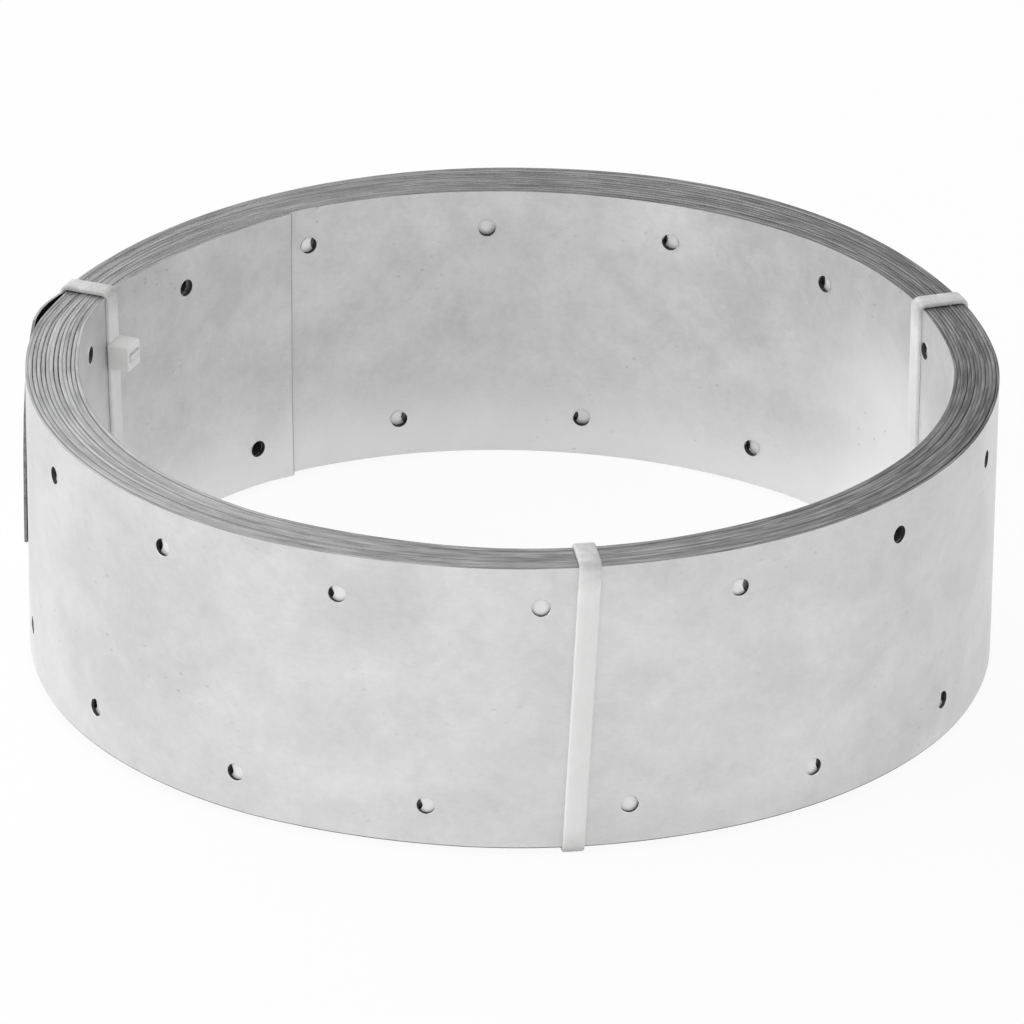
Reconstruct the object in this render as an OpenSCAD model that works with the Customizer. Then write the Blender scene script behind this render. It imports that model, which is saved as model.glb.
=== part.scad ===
// Coil of perforated steel strap held by three cable ties. Sizes are in millimetres.
// The coil stands on its edge: its axis is Z, its front is towards -Y, and the
// under-runs of the ties lie on the floor at z = 0. Angles are in degrees, from +X
// and anticlockwise seen from above, which is also the way the strap winds outwards.

/* [Strap] */
// Width of the strap, which is the height of the coil
strap_w = 50; // [30:1:80]
// Thickness of the strap
strap_t = 0.5; // [0.3:0.05:1]
// Gap between one turn and the next
turn_gap = 0.2; // [0.08:0.01:0.3]
// Turns in the coil
turns = 13; // [6:1:20]
// Radius of the bore through the coil
bore_r = 72.6; // [60:0.1:100]
// Depth of the lines between the turns on the ends of the coil
groove_depth = 0.8; // [0.3:0.1:2]

/* [Holes] */
// Diameter of a punched hole
hole_d = 3.2; // [2:0.1:5]
// Centre of a hole to the nearer edge of the strap
hole_edge = 7; // [5:0.5:12]
// Distance from hole to hole along one row
hole_pitch = 33; // [25:0.25:45]
// Turns whose holes line up, so that a hole is as deep as these turns
hole_turns = 3; // [1:1:4]
// Angle of the first hole of the top row on the outer turn
outer_top_at = 180.5; // [177:0.1:184]
// Angle of the first hole of the bottom row on the outer turn
outer_bottom_at = 190.9; // [187:0.1:194]
// Angle of the first hole of the top row on the inner turn
inner_top_at = 142.1; // [139:0.1:145]
// Angle of the first hole of the bottom row on the inner turn
inner_bottom_at = 128.6; // [127.5:0.1:132]

/* [Ends of the strap] */
// Angle of the inner end
inner_end = 122.5; // [118:0.5:124.5]
// Angle over which the innermost layer stands off the turn behind it
lap_span = 41; // [36:1:46]
// Most that the innermost layer stands off
lap_gap = 1.3; // [0.8:0.1:1.8]
// Length of the outer end past the tie that holds it
tail_l = 17.8; // [12:0.1:24]
// Angle by which the outer end springs away from the coil
tail_lift = 2.2; // [1.5:0.1:4]
// Height of the corner snipped off the outer end
snip_h = 9.5; // [4:0.5:14]
// Length of the corner snipped off the outer end, at its full height
snip_l = 5; // [2:0.5:6]
// Length of the slope between the snipped corner and the strap's edge
snip_slope = 4; // [1:0.5:5]

/* [Cable ties] */
// Width of a tie's band
tie_w = 3.6; // [2.5:0.1:4.8]
// Thickness of a tie's band
tie_t = 0.85; // [0.7:0.05:1.6]
// Clearance of a band all round the coil
tie_clear = 0.05; // [0.02:0.01:0.2]
// Angle of the front tie
tie_front_at = 278.3; // [276:0.1:281]
// Angle of the left tie, which also holds the outer end
tie_left_at = 158.1; // [157:0.1:160]
// Angle of the right tie
tie_right_at = 18.5; // [17:0.1:20]

/* [Tie heads] */
// Width of a head
head_w = 4.9; // [4.2:0.1:7]
// Length of a head along the band
head_l = 4.8; // [4:0.1:8]
// Thickness of a head, with the band
head_t = 4.2; // [3.5:0.1:5.5]
// Radius of a head's corners
head_round = 0.6; // [0.3:0.1:1.2]
// Length of the trimmed end that stands out of a head
stub_l = 0.5; // [0.3:0.1:3]
// Height of the front tie's head, as a share of the strap's width
head_front_up = 0.45; // [0.2:0.01:0.8]
// Height of the left tie's head, as a share of the strap's width
head_left_up = 0.78; // [0.2:0.01:0.8]
// Height of the right tie's head, as a share of the strap's width
head_right_up = 0.3; // [0.2:0.01:0.8]

/* [Hidden] */
$fn = 96;
turn_pitch = strap_t + turn_gap;
coil_r = bore_r + turns * turn_pitch - turn_gap;
strap_z = tie_t + tie_clear;
tie_h = strap_z + strap_w + tie_clear + tie_t;
row_low = strap_z + hole_edge;
row_high = strap_z + strap_w - hole_edge;
// A band bends tightly enough inside to clear the strap's corners
tie_bend = 3 * tie_clear;
// The pitch of the holes is taken along the middle of the strap's thickness
outer_step = hole_pitch / (coil_r - strap_t / 2) * 180 / PI;
inner_step = hole_pitch / (bore_r + strap_t / 2) * 180 / PI;
// The outer turn has holes up to the middle of its loose end
outer_turn_end = tie_left_at + 360 + atan(tail_l / 2 / coil_r);
// How far a punch reaches past the face that it starts from
punch_reach = 4;
hole_depth = hole_turns * turn_pitch - turn_gap;
// How far a plate or lap is sunk where it joins the coil
tail_bite = 0.1;
lap_bite = 1.2;
// Both ends are a hair narrower than the coil at each edge
end_shy = 0.05;
// The lap is an arc flatter than the bore, through two points of the bore's wall
lap_half = lap_span / 2;
lap_mid = inner_end + lap_bite + lap_half;
lap_rise = bore_r * (1 - cos(lap_half)) - lap_gap;
lap_r = (pow(bore_r * sin(lap_half), 2) + lap_rise * lap_rise) / (2 * lap_rise);
lap_back = lap_r - bore_r + lap_gap;
lap_start = asin(bore_r * sin(lap_half + lap_bite) / lap_r);
lap_stop = asin(bore_r * sin(lap_half + 4.5) / lap_r);
// Radius of the lap's inner face at an angle
function lap_face(a) = sqrt(pow(lap_r - strap_t, 2) - pow(lap_back * sin(a - lap_mid), 2))
    - lap_back * cos(a - lap_mid);
// Radii of the two faces that a tie lies on; the left tie also takes in the lap
tie_half = asin(tie_w / 2 / bore_r);
tie_outside = coil_r + tie_clear;
tie_inside = bore_r * cos(tie_half) - tie_clear;
lap_inside = min(lap_face(tie_left_at - tie_half), bore_r) * cos(tie_half) - tie_clear;
// How far a head stays off the wall that its band lies on
head_off = 0.3;
eps = 0.01;

// Section of the wound coil, and of the grooves that show its turns at both ends
module coil_section() {
    translate([bore_r, strap_z]) square([coil_r - bore_r, strap_w]);
}

module groove_section() {
    for (i = [1 : turns - 1])
        for (z = [strap_z - eps, strap_z + strap_w - groove_depth])
            translate([bore_r + i * turn_pitch - turn_gap, z]) square([turn_gap, groove_depth + eps]);
}

// One punched hole, round an axis that points outwards, between two radii
module punch(at, z, r_from, r_to) {
    rotate([0, 0, at]) translate([r_from, 0, z]) rotate([0, 90, 0]) cylinder(h = r_to - r_from, d = hole_d);
}

// The outer end, which springs off straight past the left tie
module tail() {
    rotate([0, 0, tie_left_at]) translate([coil_r - tail_bite, 0, strap_z]) rotate([0, 0, -tail_lift]) {
        difference() {
            translate([-strap_t, 0, end_shy]) cube([strap_t, tail_l, strap_w - 2 * end_shy]);
            translate([-strap_t - 1, tail_l, 0]) rotate([90, 0, 90]) linear_extrude(strap_t + 2)
                polygon([[-snip_l - snip_slope, -1], [1, -1], [1, snip_h], [-snip_l, snip_h - 0.5],
                    [-snip_l - snip_slope, 0]]);
        }
    }
}

// The inner end, a flatter layer that stands off the bore's wall
module lap() {
    rotate([0, 0, lap_mid]) translate([-lap_back, 0, 0]) rotate([0, 0, -lap_start])
        rotate_extrude(angle = lap_start + lap_stop) translate([lap_r - strap_t, strap_z + end_shy])
            square([strap_t, strap_w - 2 * end_shy]);
}

// The strap, one piece: the wound coil, its two ends and the holes that show on both faces
module strap() {
    color([0.72, 0.73, 0.74]) difference() {
        union() {
            rotate_extrude() coil_section();
            tail();
            lap();
        }
        rotate_extrude() groove_section();
        for (a = [outer_top_at : outer_step : outer_turn_end - outer_step / 2])
            punch(a, row_high, coil_r - hole_depth, coil_r + punch_reach);
        for (a = [outer_bottom_at : outer_step : outer_turn_end])
            punch(a, row_low, coil_r - hole_depth, coil_r + punch_reach);
        // the lap's own holes go through it
        punch(inner_top_at, row_high, bore_r - punch_reach, lap_face(inner_top_at) + strap_t + 0.3);
        punch(inner_bottom_at, row_low, bore_r - punch_reach, lap_face(inner_bottom_at) + strap_t + 0.3);
        punch(inner_bottom_at + inner_step, row_low, bore_r - punch_reach, bore_r - 0.05);
        for (i = [1 : floor((inner_end + 360 - 1.5 - inner_top_at) / inner_step)])
            punch(inner_top_at + i * inner_step, row_high, bore_r - punch_reach, bore_r + hole_depth);
        for (i = [2 : floor((inner_end + 360 - 1.5 - inner_bottom_at) / inner_step)])
            punch(inner_bottom_at + i * inner_step, row_low, bore_r - punch_reach, bore_r + hole_depth);
    }
}

// A flat rectangle with round corners, from its lower left corner
module rounded(w, h, r) {
    translate([r, 0]) square([w - 2 * r, h]);
    translate([0, r]) square([w, h - 2 * r]);
    for (x = [r, w - r])
        for (y = [r, h - r])
            translate([x, y]) circle(r = r);
}

// A closed tie: band round the coil's section, head on the inside, trimmed end
module tie(at, inside, outside, head_up) {
    head_z = strap_z + head_up * strap_w;
    color([0.93, 0.93, 0.91]) rotate([0, 0, at]) {
        translate([0, tie_w / 2, 0]) rotate([90, 0, 0]) linear_extrude(tie_w) difference() {
            translate([inside - tie_t, 0]) rounded(outside - inside + 2 * tie_t, tie_h, tie_bend + tie_t);
            translate([inside, tie_t]) rounded(outside - inside, tie_h - 2 * tie_t, tie_bend);
        }
        translate([inside - head_t, -head_w / 2, head_z - head_l / 2]) rotate([90, 0, 90])
            linear_extrude(head_t - head_off) rounded(head_w, head_l, head_round);
        translate([inside - head_t - stub_l, -tie_w / 2, head_z - 0.6]) cube([stub_l + 1, tie_w, tie_t]);
    }
}

module tie_front() {
    tie(tie_front_at, tie_inside, tie_outside, head_front_up);
}

module tie_left() {
    tie(tie_left_at, lap_inside, tie_outside, head_left_up);
}

module tie_right() {
    tie(tie_right_at, tie_inside, tie_outside, head_right_up);
}

strap();
tie_front();
tie_left();
tie_right();
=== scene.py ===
"""Dresses the coil of perforated galvanised strap and its three cable ties.

Lengths in the classes are in millimetres and angles in degrees, seen from above and
anticlockwise from +X, which is also the way the strap winds outwards. Points go into
the meshes in metres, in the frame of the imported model.
"""

from __future__ import annotations

import logging
import math
from bisect import bisect_right
from dataclasses import dataclass, field
from enum import Enum, IntEnum

import bpy
from mathutils import Matrix, Vector, noise


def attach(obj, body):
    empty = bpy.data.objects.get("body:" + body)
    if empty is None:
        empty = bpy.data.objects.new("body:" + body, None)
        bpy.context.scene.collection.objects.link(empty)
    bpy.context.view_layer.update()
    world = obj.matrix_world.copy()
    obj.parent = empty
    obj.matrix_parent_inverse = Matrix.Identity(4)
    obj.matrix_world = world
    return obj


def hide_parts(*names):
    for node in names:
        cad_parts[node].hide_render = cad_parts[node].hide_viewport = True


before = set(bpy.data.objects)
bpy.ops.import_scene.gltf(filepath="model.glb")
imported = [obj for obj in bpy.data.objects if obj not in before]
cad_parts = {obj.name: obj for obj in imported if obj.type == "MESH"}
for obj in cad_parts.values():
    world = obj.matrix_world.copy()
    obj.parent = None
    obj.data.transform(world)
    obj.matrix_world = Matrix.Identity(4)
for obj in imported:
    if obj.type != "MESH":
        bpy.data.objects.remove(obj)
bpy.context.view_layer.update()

LOG = logging.getLogger("strap_coil")
MM = 0.001
RUN_ATTRIBUTE = "strap_run"
PAINTED_SHADE_ATTRIBUTE = "painted_shade_mask"
RUN_RADIUS = 77.0


class StrapFinish(IntEnum):
    """Which finish a face of the strap takes, as its material number."""

    FACE = 0
    CUT_EDGE = 1
    PUNCHED_WALL = 2
    COVERED_FACE = 3
    INNER_FACE = 4
    COVERED_BACK = 5


class Row(Enum):
    """The two rows of holes along the strap."""

    LOW = "low"
    HIGH = "high"


class Wave(Enum):
    """The slow waves in how the strap lies: each one's length in degrees and its seed."""

    SWAY = (48.0, 3.7)
    RISE = (75.0, 7.4)
    SLIP = (9.0, 18.5)


def smooth_step(x: float) -> float:
    """Goes smoothly from 0 to 1 as x does, and stays level outside."""
    x = min(max(x, 0.0), 1.0)
    return x * x * (3.0 - 2.0 * x)


def angle_between(a: float, b: float) -> float:
    """Gives the signed turn from b to a, between -180 and 180 degrees."""
    return (a - b + 180.0) % 360.0 - 180.0


def wander(at: float, wave: Wave) -> float:
    """Gives a slow wave between -1 and 1 that never repeats.

    Args:
        at: the angle along the run.
        wave: which of the waves.

    Returns:
        The height of the wave.
    """
    length, seed = wave.value
    coarse = noise.noise(Vector((at / length, seed, 0.5)))
    fine = noise.noise(Vector((at / length * 2.3, seed, 9.5)))
    return min(max(1.6 * coarse + 0.6 * fine, -1.0), 1.0)


def rounded(half_w: float, half_l: float, radii: tuple[float, float, float, float],
            steps: int) -> list[tuple[float, float]]:
    """Lists the outline of a rectangle with round corners, anticlockwise.

    Args:
        half_w: half its width.
        half_l: half its length.
        radii: the radii of its corners, from the upper right one on.
        steps: how many steps go round a corner.

    Returns:
        The points.
    """
    points = []
    for k, (r, x, y) in enumerate(zip(radii, (1.0, -1.0, -1.0, 1.0), (1.0, 1.0, -1.0, -1.0))):
        for i in range(steps + 1):
            turn = math.radians(90.0 * (k + i / steps))
            points.append((x * (half_w - r) + r * math.cos(turn),
                           y * (half_l - r) + r * math.sin(turn)))
    return points


@dataclass
class RingProfile:
    """A measure that changes smoothly round the coil, through known values."""

    knots: tuple[tuple[float, float], ...]
    slopes: list[float] = field(default_factory=list)

    def __post_init__(self) -> None:
        """Works out how steep the measure is at each known value."""
        count = len(self.knots)
        for i in range(count):
            before, after = self.knots[i - 1], self.knots[(i + 1) % count]
            self.slopes.append((after[1] - before[1]) / ((after[0] - before[0]) % 360.0))

    def at(self, angle: float) -> float:
        """Gives the measure at an angle.

        Args:
            angle: the angle, of any turn.

        Returns:
            The measure there.
        """
        angle %= 360.0
        i = bisect_right(self.knots, (angle, math.inf)) - 1
        (start, low), (stop, high) = self.knots[i], self.knots[(i + 1) % len(self.knots)]
        span = (stop - start) % 360.0
        x = ((angle - start) % 360.0) / span
        rise, fall = self.slopes[i] * span, self.slopes[(i + 1) % len(self.knots)] * span
        return (low + x * (rise + x * (3.0 * (high - low) - 2.0 * rise - fall
                                       + x * (rise + fall - 2.0 * (high - low)))))


class MeshSketch:
    """Gathers the points and faces of one mesh while it is put together."""

    def __init__(self) -> None:
        """Starts with nothing drawn."""
        self.points: list[tuple[float, float, float]] = []
        self.faces: list[list[int]] = []
        self.finishes: list[int] = []
        self.runs: list[tuple[float, float, float]] = []
        self.painted_shade_masks: list[float] = []

    def point(self, place: Vector, run: tuple[float, float, float], over: float = 0.0) -> int:
        """Adds a point.

        Args:
            place: where it is, in millimetres.
            run: its place along and across the material, in millimetres.
            over: from 0 to 1, a mask for painted shade: on a tie, how far it lies over the edges
            of the turns, and on the strap, whether the loose outer end keeps the light off it.

        Returns:
            The point's number.
        """
        self.painted_shade_masks.append(over)
        self.points.append(tuple(c * MM for c in place))
        self.runs.append(tuple(c * MM for c in run))
        return len(self.points) - 1

    def face(self, corners: list[int], finish: int = 0) -> None:
        """Adds a face, anticlockwise seen from outside, with its finish."""
        self.faces.append(corners)
        self.finishes.append(finish)

    def band(self, first: list[int], second: list[int], finish: int = 0) -> None:
        """Joins two closed loops of as many points with a ring of four-sided faces.

        Args:
            first: the loop that the faces start from.
            second: the loop that they end on.
            finish: the finish of the ring.
        """
        for i in range(len(first)):
            j = (i + 1) % len(first)
            self.face([first[i], first[j], second[j], second[i]], finish)

    def to_object(self, name: str, materials: list[bpy.types.Material],
                  sharp_from: float) -> bpy.types.Object:
        """Makes the object and links it into the scene.

        Args:
            name: the piece's name.
            materials: its materials, by finish number.
            sharp_from: edges that turn more than this, in degrees, stay sharp.

        Returns:
            The new object.
        """
        mesh = bpy.data.meshes.new(name)
        mesh.from_pydata(self.points, [], self.faces)
        mesh.update()
        for material in materials:
            mesh.materials.append(material)
        mesh.polygons.foreach_set("material_index", self.finishes)
        mesh.polygons.foreach_set("use_smooth", [True] * len(self.faces))
        mesh.set_sharp_from_angle(angle=math.radians(sharp_from))
        runs = mesh.attributes.new(RUN_ATTRIBUTE, "FLOAT_VECTOR", "POINT")
        runs.data.foreach_set("vector", [c for run in self.runs for c in run])
        painted_shade_masks = mesh.attributes.new(PAINTED_SHADE_ATTRIBUTE, "FLOAT", "POINT")
        painted_shade_masks.data.foreach_set("value", self.painted_shade_masks)
        piece = bpy.data.objects.new(name, mesh)
        bpy.context.scene.collection.objects.link(piece)
        return piece


class NodeSheet:
    """Lays out nodes in a material or a node group and joins their sockets."""

    def __init__(self, tree: bpy.types.NodeTree) -> None:
        """Works on one node tree."""
        self.tree = tree

    def add(self, kind: str, settings: dict | None = None, **values) -> bpy.types.Node:
        """Adds a node.

        Args:
            kind: the node's type.
            settings: its own settings, by name.
            **values: its inputs, by name with _ for a space; a socket is linked,
                and anything else is set.

        Returns:
            The node.
        """
        node = self.tree.nodes.new(kind)
        for name, value in (settings or {}).items():
            setattr(node, name, value)
        for name, value in values.items():
            self.put(node.inputs[name.replace("_", " ")], value)
        return node

    def put(self, socket: bpy.types.NodeSocket, value: object) -> None:
        """Links a socket to another, or sets it to a plain value.

        Args:
            socket: the socket.
            value: the socket that feeds it, or its value.
        """
        if isinstance(value, bpy.types.NodeSocket):
            self.tree.links.new(value, socket)
        else:
            socket.default_value = value

    def math(self, operation: str, a: object, b: object = 0.0,
             clamp: bool = False) -> bpy.types.NodeSocket:
        """Adds a sum of two values.

        Args:
            operation: the kind of sum.
            a: the first value or socket.
            b: the second value or socket.
            clamp: keeps the result between 0 and 1.

        Returns:
            The result's socket.
        """
        node = self.add("ShaderNodeMath", {"operation": operation, "use_clamp": clamp})
        self.put(node.inputs[0], a)
        self.put(node.inputs[1], b)
        return node.outputs[0]

    def total(self, *parts: tuple[object, float], base: float = 0.0,
              clamp: bool = False) -> bpy.types.NodeSocket:
        """Adds up values, each times its weight.

        Args:
            *parts: the values' sockets and their weights.
            base: a plain number to start from.
            clamp: keeps the result between 0 and 1.

        Returns:
            The sum's socket.
        """
        result: object = base
        for i, (value, weight) in enumerate(parts, 1):
            node = self.add("ShaderNodeMath", {"operation": "MULTIPLY_ADD",
                                               "use_clamp": clamp and i == len(parts)})
            for socket, number in zip(node.inputs, (value, weight, result)):
                self.put(socket, number)
            result = node.outputs[0]
        return result

    def ramp(self, value: object, low: float, high: float, to_low: float = 0.0,
             to_high: float = 1.0) -> bpy.types.NodeSocket:
        """Stretches a value from one range to another, smoothly and within it.

        Args:
            value: the value or socket.
            low: where the range starts.
            high: where it ends.
            to_low: what the start becomes.
            to_high: what the end becomes.

        Returns:
            The stretched value's socket.
        """
        node = self.add("ShaderNodeMapRange", {"interpolation_type": "SMOOTHSTEP"})
        for name, number in (("Value", value), ("From Min", low), ("From Max", high),
                             ("To Min", to_low), ("To Max", to_high)):
            self.put(node.inputs[name], number)
        return node.outputs["Result"]

    def blend(self, share: object, a: object, b: object) -> bpy.types.NodeSocket:
        """Mixes two colours.

        Args:
            share: how much of the second colour.
            a: the first colour.
            b: the second colour.

        Returns:
            The mixed colour's socket.
        """
        node = self.add("ShaderNodeMix", {"data_type": "RGBA"})
        self.put(node.inputs[0], share)
        self.put(node.inputs[6], a)
        self.put(node.inputs[7], b)
        return node.outputs[2]

    def stretch(self, vector: object, scale: tuple[float, float, float]) -> bpy.types.NodeSocket:
        """Scales a vector unevenly.

        Args:
            vector: the vector.
            scale: the scale along each of its directions.

        Returns:
            The scaled vector's socket.
        """
        node = self.add("ShaderNodeVectorMath", {"operation": "MULTIPLY"})
        self.put(node.inputs[0], vector)
        self.put(node.inputs[1], scale)
        return node.outputs[0]

    def run(self) -> bpy.types.NodeSocket:
        """Gives the place along and across the material, in metres."""
        node = self.add("ShaderNodeAttribute", {"attribute_name": RUN_ATTRIBUTE})
        return node.outputs["Vector"]

    def over(self) -> bpy.types.NodeSocket:
        """Gives the mask for painted shade: how far a spot lies over the turns' edges or under the
        loose outer end.
        """
        node = self.add("ShaderNodeAttribute", {"attribute_name": PAINTED_SHADE_ATTRIBUTE})
        return node.outputs["Fac"]

    def parts(self, vector: bpy.types.NodeSocket) -> tuple[bpy.types.NodeSocket, ...]:
        """Splits a vector into its three numbers."""
        return tuple(self.add("ShaderNodeSeparateXYZ", Vector=vector).outputs)

    def facing(self, along: bpy.types.NodeSocket, at: float = 0.0) -> bpy.types.NodeSocket:
        """Gives 1 where a place along the run is at an angle, and -1 across from it."""
        turn = self.total((along, 1.0 / (RUN_RADIUS * MM)), base=-math.radians(at))
        return self.math("COSINE", turn)

    def effect(self, group: bpy.types.NodeTree, vector: bpy.types.NodeSocket,
               **values: float) -> bpy.types.NodeSocket:
        """Places one of the shared node groups.

        Args:
            group: the group.
            vector: the place on the surface.
            **values: the group's own values, by name.

        Returns:
            The group's value.
        """
        node = self.add("ShaderNodeGroup", {"node_tree": group}, Vector=vector, **values)
        return node.outputs["Value"]

    def bump(self, shader: bpy.types.Node, height: bpy.types.NodeSocket, strength: float,
             distance: float) -> None:
        """Gives a shader's surface a slight relief."""
        node = self.add("ShaderNodeBump", Strength=strength, Distance=distance, Height=height)
        self.put(shader.inputs["Normal"], node.outputs[0])


class SurfaceEffects:
    """The shader node groups that the finishes share, each built once."""

    def __init__(self) -> None:
        """Builds the groups."""
        self.clouds = self._clouds()
        self.grain = self._grain()
        self.specks = self._specks()

    @staticmethod
    def _group(name: str, **inputs: float) -> tuple[NodeSheet, bpy.types.Node, bpy.types.Node]:
        """Starts a node group that puts out one value.

        Args:
            name: the group's name.
            **inputs: its number inputs and their usual values, beside Vector.

        Returns:
            The sheet to draw on, the group's input node and its output node.
        """
        tree = bpy.data.node_groups.new(name, "ShaderNodeTree")
        tree.interface.new_socket("Vector", in_out="INPUT", socket_type="NodeSocketVector")
        for label, value in inputs.items():
            socket = tree.interface.new_socket(label, in_out="INPUT",
                                               socket_type="NodeSocketFloat")
            socket.default_value = value
        tree.interface.new_socket("Value", in_out="OUTPUT", socket_type="NodeSocketFloat")
        sheet = NodeSheet(tree)
        return sheet, sheet.add("NodeGroupInput"), sheet.add("NodeGroupOutput")

    def _clouds(self) -> bpy.types.NodeTree:
        """Builds soft cloudy patches, broad ones with smaller ones in them.

        Returns:
            The node group.
        """
        sheet, given, out = self._group("soft_clouds", Scale=40.0, Spread=0.16)
        broad = sheet.add("ShaderNodeTexNoise", Vector=given.outputs["Vector"],
                          Scale=given.outputs["Scale"], Detail=3.0, Roughness=0.55,
                          Distortion=0.6)
        small_scale = sheet.math("MULTIPLY", given.outputs["Scale"], 4.3)
        small = sheet.add("ShaderNodeTexNoise", Vector=given.outputs["Vector"],
                          Scale=small_scale, Detail=4.0, Roughness=0.6)
        both = sheet.total((broad.outputs[0], 0.72), (small.outputs[0], 0.28))
        low = sheet.math("SUBTRACT", 0.5, given.outputs["Spread"])
        high = sheet.math("ADD", 0.5, given.outputs["Spread"])
        sheet.put(out.inputs["Value"], sheet.ramp(both, low, high))
        return sheet.tree

    def _grain(self) -> bpy.types.NodeTree:
        """Builds short streaks that lie along the run, as rolling leaves them.

        Returns:
            The node group.
        """
        sheet, given, out = self._group("rolled_grain", Scale=900.0, Stretch=0.12)
        shrink = sheet.add("ShaderNodeCombineXYZ", X=given.outputs["Stretch"], Y=1.0, Z=1.0)
        along = sheet.stretch(given.outputs["Vector"], shrink.outputs[0])
        streaks = sheet.add("ShaderNodeTexNoise", Vector=along,
                            Scale=given.outputs["Scale"], Detail=3.0, Roughness=0.65)
        sheet.put(out.inputs["Value"], sheet.ramp(streaks.outputs[0], 0.3, 0.7))
        return sheet.tree

    def _specks(self) -> bpy.types.NodeTree:
        """Builds small scattered spots, gathered here and there.

        Returns:
            The node group.
        """
        sheet, given, out = self._group("scattered_specks", Scale=420.0, Size=0.16)
        cells = sheet.add("ShaderNodeTexVoronoi", Vector=given.outputs["Vector"],
                          Scale=given.outputs["Scale"], Randomness=1.0)
        spot = sheet.math("SUBTRACT", given.outputs["Size"], cells.outputs["Distance"])
        spot = sheet.ramp(spot, 0.0, 0.05)
        where = sheet.add("ShaderNodeTexNoise", Vector=given.outputs["Vector"],
                          Scale=sheet.math("MULTIPLY", given.outputs["Scale"], 0.13),
                          Detail=2.0)
        where = sheet.ramp(where.outputs[0], 0.5, 0.72)
        sheet.put(out.inputs["Value"], sheet.math("MULTIPLY", spot, where))
        return sheet.tree


def new_material(name: str) -> tuple[bpy.types.Material, NodeSheet, bpy.types.Node]:
    """Starts a material.

    Args:
        name: the material's name.

    Returns:
        The material, its sheet and its Principled shader.
    """
    material = bpy.data.materials.new(name)
    material.use_nodes = True
    sheet = NodeSheet(material.node_tree)
    material.node_tree.nodes.clear()
    shader = sheet.add("ShaderNodeBsdfPrincipled")
    sheet.add("ShaderNodeOutputMaterial", Surface=shader.outputs[0])
    return material, sheet, shader


def grey(level: float, tint: tuple[float, float, float] = (1.0, 1.0, 1.0)) -> tuple:
    """Gives a grey of that level, slightly tinted, as a colour."""
    return tuple(level * t for t in tint) + (1.0,)


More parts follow.
